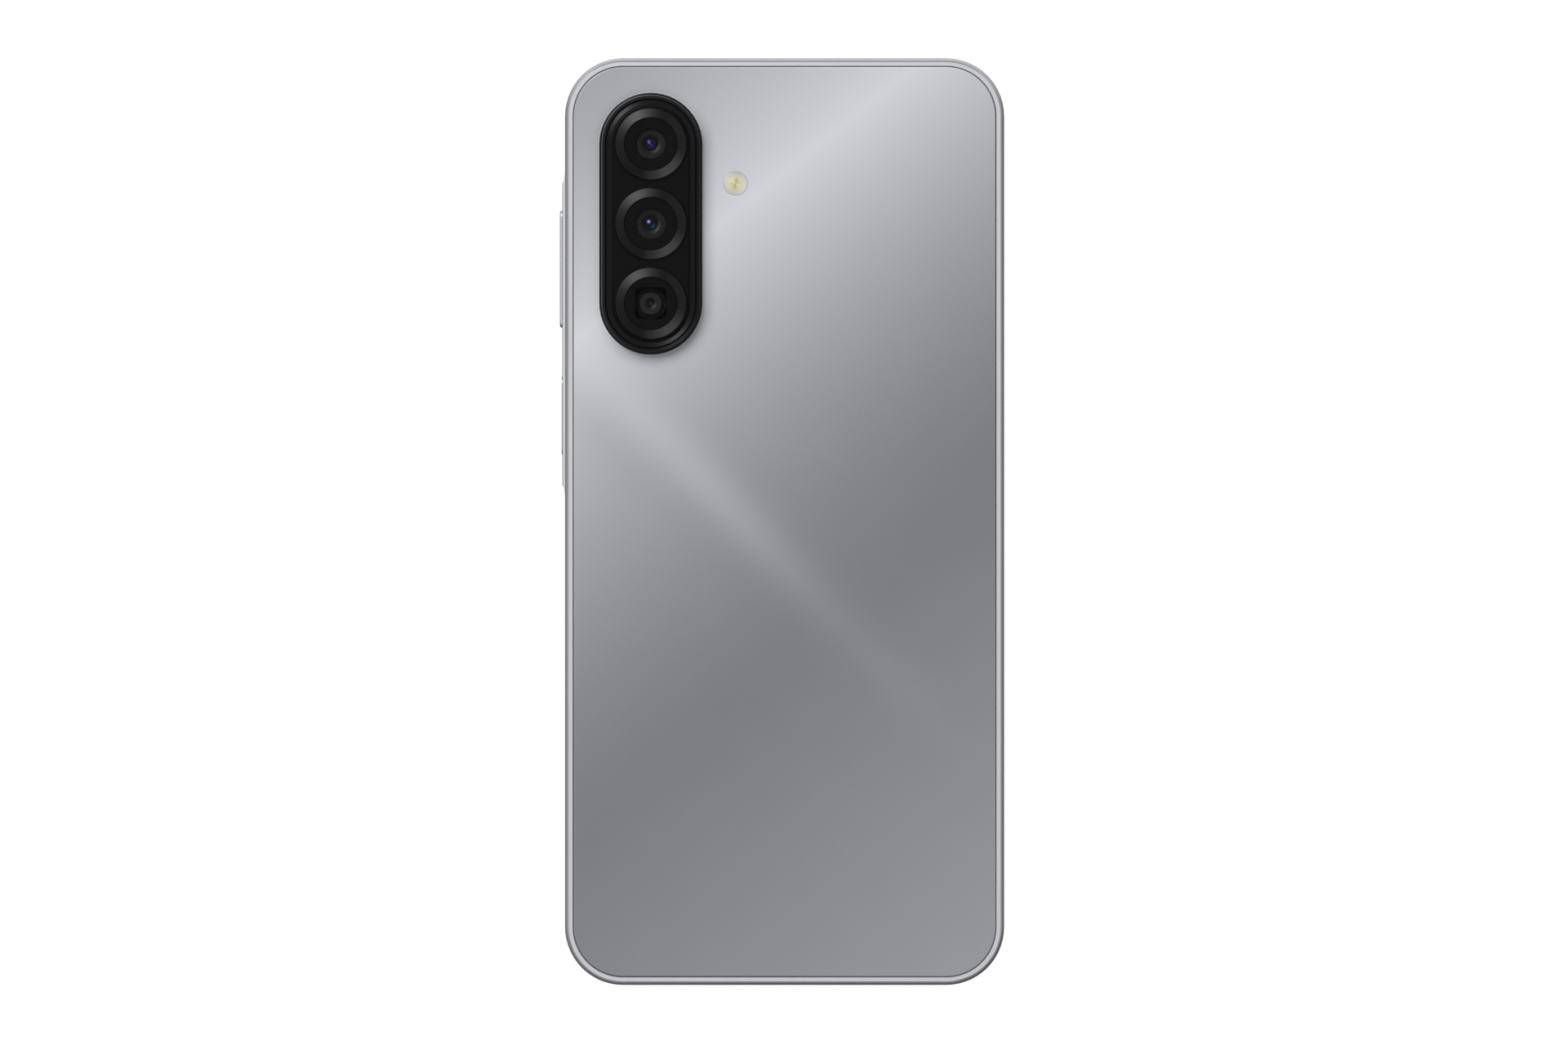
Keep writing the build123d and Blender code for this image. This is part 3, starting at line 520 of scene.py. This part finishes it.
def display_glass_finish():
    """Cover glass of the display: a black printed border, and clear over panel and camera."""
    paint = Paint("display_glass", Roughness=0.04, IOR=1.5)
    middle = (panel_low + panel_high) / 2
    half = (panel_high - panel_low) / 2
    over_x = (paint.x - middle.x).size() - (half.x - 0.9)
    over_y = (paint.y - middle.y).size() - (half.y - 0.9)
    border = over_x.step(-0.05, 0.05).calc("MAXIMUM", over_y.step(-0.05, 0.05))
    camera_ring = paint.radius(front_camera_at)
    around_camera = camera_ring.step(1.60, 1.66) * camera_ring.step(2.12, 2.06)
    smear = paint.noise(14.0, 4.0)
    paint.colour(smear * 0.8 + 13, (0, 0, 1))
    paint.rough(smear * 0.015 + 0.05)
    paint.alpha(border.calc("MAXIMUM", around_camera) * 0.88 + 0.12)
    paint.material.surface_render_method = "BLENDED"
    return paint.material


def display_panel_finish():
    """Unlit display: near black, with its fine grid of pixels."""
    paint = Paint("display_panel", Roughness=0.2)
    columns = (paint.x * (math.tau / 0.13)).calc("SINE")
    rows = (paint.y * (math.tau / 0.13)).calc("SINE")
    paint.colour(columns * rows * 2 + paint.noise(20.0) * 1.0 + 17, (0, 1, 4))
    paint.bump(columns * rows * 0.001)
    return paint.material


def mesh_finish(name, level, tint, pitch):
    """Fine woven mesh: round threads with dark holes between them."""
    paint = Paint(name, Roughness=0.75)
    warp = ((paint.x + paint.z) * (math.tau / pitch)).calc("SINE")
    weft = ((paint.y + paint.z) * (math.tau / pitch)).calc("SINE")
    thread = warp.calc("MAXIMUM", weft)
    paint.colour(thread * 8 + paint.noise(0.5) * 3 + level, tint)
    paint.bump(thread * pitch * 0.2)
    return paint.material


def board_finish():
    """Green solder mask with copper tracks under it and small tinned pads."""
    paint = Paint("circuit_board", Roughness=0.3)
    tracks = (paint.x + paint.noise(3.0) * 1.2).calc("PINGPONG", 0.45).step(0.30, 0.36)
    pads = (paint.x.calc("PINGPONG", 0.8) ** 2 + paint.y.calc("PINGPONG", 0.7) ** 2).step(0.05, 0.02)
    mask = paint.colour(tracks * 14 + paint.noise(0.2) * 3 + 38, (0, 42, 20))
    tin = paint.colour(paint.noise(0.1) * 10 + 190, (0, 0, 0))
    paint.blend_colours(pads, mask, tin)
    paint.rough(paint.noise(0.4) * 0.05 + 0.32)
    paint.bump(tracks * 0.02 + pads * 0.03)
    return paint.material


def flex_finish():
    """Amber film with parallel copper conductors."""
    paint = Paint("flex_film", Roughness=0.35)
    lines = (paint.x.calc("PINGPONG", 0.25)).step(0.10, 0.16)
    paint.colour(lines * 24 + paint.noise(1.0) * 4 + 138, (0, -42, -100))
    paint.rough(paint.noise(0.5) * 0.06 + 0.36)
    paint.bump(lines * 0.01)
    return paint.material


def brushed(name, level, roughness, stretch=(14, 1, 1), tint=NEUTRAL):
    """Bright metal with fine lines along one direction."""
    paint = Paint(name, Metallic=1.0)
    lines = paint.noise(0.06, 3.0, stretch)
    paint.colour(lines * 7 + paint.noise(3.0) * 4 + level, tint)
    paint.rough(lines * 0.06 + roughness)
    paint.bump(lines * 0.002)
    return paint.material


def wrap_finish():
    """Battery pouch: dark printed wrap with soft dents, and silver folded edges."""
    paint = Paint("battery_pouch", Metallic=0.4)
    low, high = box_mm("battery")
    edge = (paint.x - (low.x + high.x) / 2).size().step(31.4, 31.8)
    wrap = paint.colour(paint.noise(2.0) * 3 + 62, (0, 1, 4))
    silver = paint.colour(paint.noise(0.4) * 8 + 168, (0, 1, 4))
    paint.blend_colours(edge, wrap, silver)
    paint.rough(paint.noise(1.0) * 0.08 + 0.42)
    paint.bump(paint.noise(5.0) * 0.05 + paint.noise(0.2) * 0.004)
    return paint.material


FINISHES = {
    "frame_plastic": frame_finish("frame_plastic", 222),
    "key_finish": frame_finish("key_finish", 214, 0.28, 0.85),
    "sensor_cap": frame_finish("sensor_cap", 204, 0.22, 0.70),
    "cover_plastic": cover_finish(),
    "adhesive_tape": grained("adhesive_tape", 30, roughness=0.85, grain=0.15, depth=0.02),
    "display_glass": display_glass_finish(),
    "display_panel": display_panel_finish(),
    "black_foam": grained("black_foam", 36, roughness=0.9, grain=0.2, depth=0.03),
    "flex_film": flex_finish(),
    "black_mesh": mesh_finish("black_mesh", 30, NEUTRAL, 0.16),
    "module_plastic": grained(
        "module_plastic", 36, roughness=0.5, grain=0.07, depth=0.002, Specular_IOR_Level=0.2,
    ),
    "surround_metal": surround_finish(),
    "camera_glass": black_glass_finish(),
    "flash_clear": flash_finish(),
    "flash_phosphor": phosphor_finish(),
    "circuit_board": board_finish(),
    "chip_black": grained("chip_black", 42, roughness=0.6, grain=0.06, depth=0.003),
    "plate_alloy": grained("plate_alloy", 178, roughness=0.45, metallic=0.9, grain=0.09, depth=0.008),
    "sheet_steel": brushed("sheet_steel", 200, 0.30),
    "screw_steel": brushed("screw_steel", 128, 0.34, (3, 3, 1)),
    "battery_pouch": wrap_finish(),
    "cable_black": grained("cable_black", 38, roughness=0.45, grain=0.1, depth=0.003),
    "seal_rubber": grained("seal_rubber", 92, COOL, roughness=0.7, grain=0.08, depth=0.003),
    "rotor_weight": grained("rotor_weight", 150, roughness=0.4, metallic=1.0, grain=0.05, depth=0.004),
}
RIBS = rib_finish()
GOLD = brushed("contact_gold", 214, 0.22, (1, 10, 1), (0, -34, -120))
RINGS = {
    name: ring_finish(lens_at[name], (box_mm(f"{name}_ring")[1] - lens_at[name]).x, lift)
    for name, lift in zip(LENSES, (6, 0, 0))
}
WINDOWS = {
    "ultrawide": window_finish("ultrawide", lens_at["ultrawide"], 2.70, False),
    "main": window_finish("main", lens_at["main"], 2.72, False),
    "macro": window_finish("macro", lens_at["macro"], 2.75, True),
}
BARREL_PAINTS = {
    "ultrawide": barrel_finish("ultrawide", lens_at["ultrawide"], 2.70, 1.65),
    "main": barrel_finish("main", lens_at["main"], 2.75, 1.65),
    "macro": barrel_finish("macro", lens_at["macro"], 1.95, 0.90),
}
LENS_PAINTS = {
    "ultrawide": lens_finish("ultrawide", lens_at["ultrawide"], 1.05, [
        (-0.30, 0.34, 0.20, rgba(40, (0, 0, 60))), (0.20, -0.26, 0.15, rgba(28, (0, 0, 50))),
        (-0.44, 0.52, 0.11, rgba(112, (0, -28, 84))), (-0.27, 0.28, 0.13, rgba(132, (0, -14, 123))),
        (0.08, -0.16, 0.10, rgba(72, (0, 8, 183))), (0.34, -0.42, 0.09, rgba(42, (0, 2, 70))),
    ]),
    "main": lens_finish("main", lens_at["main"], 1.05, [
        (-0.52, 0.58, 0.24, rgba(62, (0, -4, 70))), (0.47, -0.52, 0.20, rgba(40, (0, 32, 96))),
        (-0.38, 0.38, 0.20, rgba(60, (0, 2, 80))), (-0.36, 0.37, 0.13, rgba(215, (0, 6, 40))),
    ]),
    "macro": lens_finish("macro", lens_at["macro"], 0.45, [
        (-0.10, 0.12, 0.08, rgba(30, (0, 34, 60))), (0.12, -0.13, 0.08, rgba(30, (0, 55, 110))),
    ]),
    "front_camera": lens_finish("front_camera", front_camera_at, 0.75, [
        (-0.25, 0.25, 0.16, rgba(60, (0, 0, 90))), (0.22, -0.22, 0.14, rgba(30, (0, 20, 80))),
    ]),
}
BARREL_NODES = {"ultrawide_camera": "ultrawide", "main_lens_barrel": "main", "macro_camera": "macro"}


def finish_of(node, slot):
    """The material of a CAD node: its slot's, or its own where it is painted about its centre."""
    if node in BARREL_NODES:
        return BARREL_PAINTS[BARREL_NODES[node]]
    for name in (*LENSES, "front_camera"):
        if node == f"{name}_window":
            return WINDOWS[name]
        if node == f"{name}_ring":
            return RINGS[name]
        if node == f"{name}_lens":
            return LENS_PAINTS[name]
    return FINISHES[slot]


for part in frame["record"]["subparts"]:
    mesh = frame["nodes"][part["node"]].data
    mesh.materials.clear()
    mesh.materials.append(finish_of(part["node"], part["material_slot"]))


# The panel's face and the glass lie in one plane, so the panel is drawn a hair smaller.
shrink = frame["nodes"]["display_panel"].modifiers.new("clear_of_glass", "DISPLACE")
shrink.strength = -0.02 * MM
shrink.mid_level = 0.0


# ---- Making pieces ------------------------------------------------------------------------

def add_piece(name, points, faces, body, slot, material, replaces=(), crease=28):
    """A piece from points in millimetres, shaded smooth except at creases, in degrees."""
    mesh = bpy.data.meshes.new(name)
    mesh.from_pydata([Vector(p) * MM for p in points], [], faces)
    mesh.polygons.foreach_set("use_smooth", [True] * len(mesh.polygons))
    mesh.set_sharp_from_angle(angle=math.radians(crease))
    mesh.materials.append(material)
    piece = bpy.data.objects.new(name, mesh)
    scene.collection.objects.link(piece)
    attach(piece, body)
    if replaces:
        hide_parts(*replaces)
    return piece


def loop_faces(stations, ring):
    """Quads of a closed tube: a closed ring of points repeated round a closed path."""
    faces = []
    for i in range(stations):
        for j in range(ring):
            a, b = i * ring + j, i * ring + (j + 1) % ring
            c, d = (i + 1) % stations * ring + (j + 1) % ring, (i + 1) % stations * ring + j
            faces.append((a, d, c, b))
    return faces


def lathe(name, at, profile, body, slot, material, stations=192, **options):
    """A turned ring about an upright axis, from a closed outline of (radius, height)."""
    points = []
    for i in range(stations):
        angle = math.tau * i / stations
        for radius, z in profile:
            points.append((at[0] + radius * math.cos(angle), at[1] + radius * math.sin(angle), z))
    faces = loop_faces(stations, len(profile))
    return add_piece(name, points, faces, body, slot, material, **options)


def pill_rail(arc_steps, straight_steps):
    """Stations round the camera island: (middle of the curve, outward direction)."""
    rail = []
    for side in (1, -1):
        middle_y = island_at.y + side * island_straight / 2
        start = 0.0 if side == 1 else math.pi
        for i in range(arc_steps):
            angle = start + math.pi * i / arc_steps
            out = Vector((math.cos(angle), math.sin(angle)))
            rail.append((Vector((island_at.x, middle_y)), out))
        for i in range(straight_steps):
            y = middle_y - side * island_straight * i / straight_steps
            rail.append((Vector((island_at.x, y)), Vector((-side, 0))))
    return rail


def pill_sweep(name, rail, profile_at, body, slot, material, **options):
    """A band round the camera island, from closed outlines of (inset, height)."""
    points = []
    for i, (middle, out) in enumerate(rail):
        profile = profile_at(i)
        for inset, z in profile:
            place = middle + out * (island_radius - inset)
            points.append((place.x, place.y, z))
    faces = loop_faces(len(rail), len(profile_at(0)))
    return add_piece(name, points, faces, body, slot, material, **options)


def rounded_bar(length, width, height, bevel):
    """Points and faces of a bar on the XY plane, centred, with its top edges bevelled."""
    points = []
    for inset, z in ((0, 0), (0, height - bevel), (bevel, height)):
        half_x, half_y = length / 2 - inset, width / 2 - inset
        points += [(-half_x, -half_y, z), (half_x, -half_y, z)]
        points += [(half_x, half_y, z), (-half_x, half_y, z)]
    faces = [(3, 2, 1, 0), (8, 9, 10, 11)]
    for level in (0, 4):
        for k in range(4):
            m = (k + 1) % 4
            faces.append((level + k, level + m, level + 4 + m, level + 4 + k))
    return points, faces


def add_bars(name, places, bar, body, slot, material, flip=False):
    """One piece made of the same bar at several places."""
    bar_points, bar_faces = bar
    points, faces = [], []
    for place in places:
        first = len(points)
        up = -1 if flip else 1
        points += [(p[0] + place[0], p[1] + place[1], place[2] + up * p[2]) for p in bar_points]
        faces += [tuple(first + k for k in face[::up]) for face in bar_faces]
    return add_piece(name, points, faces, body, slot, material)


# ---- Camera island ------------------------------------------------------------------------

surround_low, surround_high = box_mm("camera_surround")
flange = (surround_high.x - surround_low.x) / 2 - island_radius
top_z = surround_high.z
SEAT_Z = 7.75
skirt_z = surround_low.z
cover_under_z = box_mm("back_cover")[0].z

# From the foot of the wall over the rounded edge, the bright line and the slope, to the floor,
# the thin step round the glass, the glass's seat, and back under the flange.
SURROUND_OUTLINE = [
    (-flange, skirt_z), (-flange, cover_under_z), (0.0, cover_under_z), (0.0, back_z),
    (0.0, 8.42), (0.03, 8.53), (0.09, 8.61), (0.18, 8.665), (0.30, 8.69),
    (0.34, top_z), (0.42, top_z), (0.46, 8.685), (0.90, 8.50), (0.96, 8.46), (1.02, 8.40),
    (1.06, 8.33), (1.97, 8.33), (1.99, 8.35), (2.05, 8.35), (2.08, 8.25), (2.34, 8.25),
    (2.37, 8.25), (2.37, SEAT_Z), (2.90, SEAT_Z), (2.90, skirt_z),
]
smooth_rail = pill_rail(96, 24)
pill_sweep(
    "camera_surround_shell", smooth_rail, lambda i: SURROUND_OUTLINE, "phone", "surround_metal",
    FINISHES["surround_metal"], replaces=("camera_surround",),
)

RIB_PITCH = 0.16
RIB_OUTER, RIB_INNER = 1.24, 1.90
mid_radius = island_radius - (RIB_OUTER + RIB_INNER) / 2
arc_ribs = round(math.pi * mid_radius / RIB_PITCH)
straight_ribs = round(island_straight / RIB_PITCH)
rib_rail = pill_rail(2 * arc_ribs, 2 * straight_ribs)


def rib_outline(i):
    crest = 8.335 + (0.006 if i % 2 else 0.0)
    return [(RIB_OUTER, 8.30), (RIB_OUTER, crest), (RIB_INNER, crest), (RIB_INNER, 8.30)]


pill_sweep("camera_floor_ribs", rib_rail, rib_outline, "phone", "surround_metal", RIBS, crease=10)

for name in LENSES:
    low, high = box_mm(f"{name}_ring")
    outer = (high.x - low.x) / 2
    face_z = high.z
    ring_outline = [(4.65, 8.78), (4.65, face_z - 0.05), (4.68, face_z)]
    marks = int((outer - 0.17 - 4.78) / TURNING_PITCH)
    for k in range(marks):
        crest = 4.78 + k * TURNING_PITCH
        ring_outline += [(crest, face_z), (crest + TURNING_PITCH / 2, face_z - 0.002)]
    ring_outline += [
        (outer - 0.14, face_z), (outer - 0.03, face_z), (outer, face_z - 0.05), (outer, floor_z),
        (5.90, floor_z), (5.90, low.z), (5.15, low.z), (5.15, 8.75),
    ]
    lathe(
        f"{name}_ring_spun", lens_at[name], ring_outline, "phone", "ring_metal", RINGS[name],
        replaces=(f"{name}_ring",),
    )

# A thin stepped trim on the flat front of each lens barrel, and a retaining ring round the lens.
BARRELS = {
    "ultrawide": ("phone", 7.85, 2.70, 1.65),
    "main": ("focus_carrier", 7.75, 2.75, 1.65),
    "macro": ("phone", 7.85, 1.95, 0.90),
}
for name, (body, front_z, outer, inner) in BARRELS.items():
    trim = [
        (inner + 0.02, front_z - 0.02), (inner + 0.06, front_z + 0.05), (inner + 0.22, front_z + 0.06),
        (inner + 0.26, front_z + 0.03), (outer - 0.16, front_z + 0.03), (outer - 0.12, front_z + 0.055),
        (outer - 0.04, front_z + 0.05), (outer - 0.01, front_z + 0.01), (outer - 0.01, front_z - 0.02),
    ]
    lathe(f"{name}_barrel_trim", lens_at[name], trim, body, "module_plastic", BARREL_PAINTS[name])

# Flash: a moulded lens with concentric steps, over its emitter.
flash_low, flash_high = box_mm("flash_lens")
flash_radius = 2.19
flange_radius = (flash_high.x - flash_low.x) / 2
flash_outline = [(0.0, flash_high.z - 0.05), (0.22, flash_high.z - 0.055)]
for k in range(4):
    start = 0.26 + k * FLASH_STEP
    flash_outline += [(start, flash_high.z - 0.065), (start + FLASH_STEP - 0.04, flash_high.z - 0.05)]
flash_outline += [
    (1.90, flash_high.z - 0.05), (1.98, flash_high.z), (flash_radius - 0.10, flash_high.z),
    (flash_radius - 0.01, flash_high.z),
    (flash_radius, flash_high.z - 0.01), (flash_radius, cover_under_z), (flange_radius, cover_under_z),
    (flange_radius, flash_low.z), (0.0, flash_low.z),
]
lathe(
    "flash_lens_stepped", flash_at, flash_outline, "phone", "flash_clear", FINISHES["flash_clear"],
    stations=128, replaces=("flash_lens",),
)

# ---- Charging port ------------------------------------------------------------------------

# Twelve contacts on each face of the tongue.
tongue_low = box_mm("usb_tongue")[0]
CONTACT_PITCH = 0.5
contact_bar = rounded_bar(0.25, 3.4, 0.03, 0.01)
port_z = centre_mm("usb_tongue").z
for side, flip in (("upper", False), ("lower", True)):
    face_z = port_z + (-0.35 if flip else 0.35)
    places = [((k - 5.5) * CONTACT_PITCH, tongue_low.y + 2.3, face_z) for k in range(12)]
    add_bars(f"usb_contacts_{side}", places, contact_bar, "phone", "sheet_steel", GOLD, flip)

# ---- Light, floor and camera --------------------------------------------------------------

WORLD_LEVEL = 0.88


def make_world():
    """A soft studio: bright above but for an opening overhead, and dimmer round the sides."""
    world = bpy.data.worlds.new("studio")
    world.use_nodes = True
    scene.world = world
    tree = world.node_tree
    direction = tree.nodes.new("ShaderNodeTexCoord").outputs["Generated"]
    split = tree.nodes.new("ShaderNodeSeparateXYZ")
    tree.links.new(direction, split.inputs[0])
    x, y, z = (Value(tree, s) for s in split.outputs)
    overhead = 1 - z.step(math.cos(math.radians(10)), math.cos(math.radians(5))) * 0.90
    around = y * 0.06 + x.size() * 0.10 + 0.36
    below = y * 0.42 + y * y * 0.36 - x * 0.04 + 0.14
    under = z.step(-0.92, -0.97) * 0.5
    high, low = z.step(0.30, 0.75), z.step(0.06, -0.10)
    light = high * overhead + (1 - high) * (around * (1 - low) + below * low) + under
    seen_directly = Value(tree, tree.nodes.new("ShaderNodeLightPath").outputs["Is Camera Ray"])
    strength = light * WORLD_LEVEL * (1 - seen_directly) + seen_directly
    strength.above().put(tree.nodes["Background"].inputs["Strength"])
    tree.nodes["Background"].inputs["Color"].default_value = (1, 1, 1, 1)


def make_key_light():
    """One large soft lamp from the upper left of the view."""
    data = bpy.data.lights.new("key", "AREA")
    data.shape = "DISK"
    data.size = 0.62
    data.energy = 9.4
    lamp = bpy.data.objects.new("key", data)
    scene.collection.objects.link(lamp)
    lamp.location = KEY_DIRECTION * 1.5
    lamp.rotation_mode = "QUATERNION"
    lamp.rotation_quaternion = KEY_DIRECTION.to_track_quat("Z", "Y")


def make_floor():
    """A pale floor that the object lies on. It is seen, but it isn't seen in the object."""
    mesh = bpy.data.meshes.new("floor")
    half = 6.0
    corners = [(-half, -half, 0), (half, -half, 0), (half, half, 0), (-half, half, 0)]
    mesh.from_pydata(corners, [], [(0, 1, 2, 3)])
    floor = bpy.data.objects.new("floor", mesh)
    scene.collection.objects.link(floor)
    floor.location.z = -0.00002
    floor.visible_diffuse = floor.visible_glossy = floor.visible_transmission = False
    floor.visible_shadow = False
    material = bpy.data.materials.new("floor")
    material.use_nodes = True
    tree = material.node_tree
    shader = tree.nodes["Principled BSDF"]
    shader.inputs["Base Color"].default_value = (0.30, 0.30, 0.30, 1)
    shader.inputs["Roughness"].default_value = 1.0
    shader.inputs["Specular IOR Level"].default_value = 0.0
    shader.inputs["Emission Color"].default_value = (1, 1, 1, 1)
    shader.inputs["Emission Strength"].default_value = 0.84
    clear = tree.nodes.new("ShaderNodeBsdfTransparent")
    mix = tree.nodes.new("ShaderNodeMixShader")
    side = tree.nodes.new("ShaderNodeNewGeometry")
    tree.links.new(side.outputs["Backfacing"], mix.inputs[0])
    tree.links.new(shader.outputs[0], mix.inputs[1])
    tree.links.new(clear.outputs[0], mix.inputs[2])
    tree.links.new(mix.outputs[0], tree.nodes["Material Output"].inputs["Surface"])
    mesh.materials.append(material)


def make_camera():
    """A long lens straight above the back, with the phone upright in the picture."""
    VIEW_WIDTH = 0.2779
    data = bpy.data.cameras.new("camera")
    data.lens = 300
    data.sensor_width = 36
    camera = bpy.data.objects.new("camera", data)
    scene.collection.objects.link(camera)
    distance = VIEW_WIDTH * data.lens / data.sensor_width
    camera.location = (-0.10 * MM, -0.16 * MM, back_z * MM + distance)
    data.clip_start = 0.1
    data.clip_end = 20
    scene.camera = camera


make_world()
make_key_light()
make_floor()
make_camera()
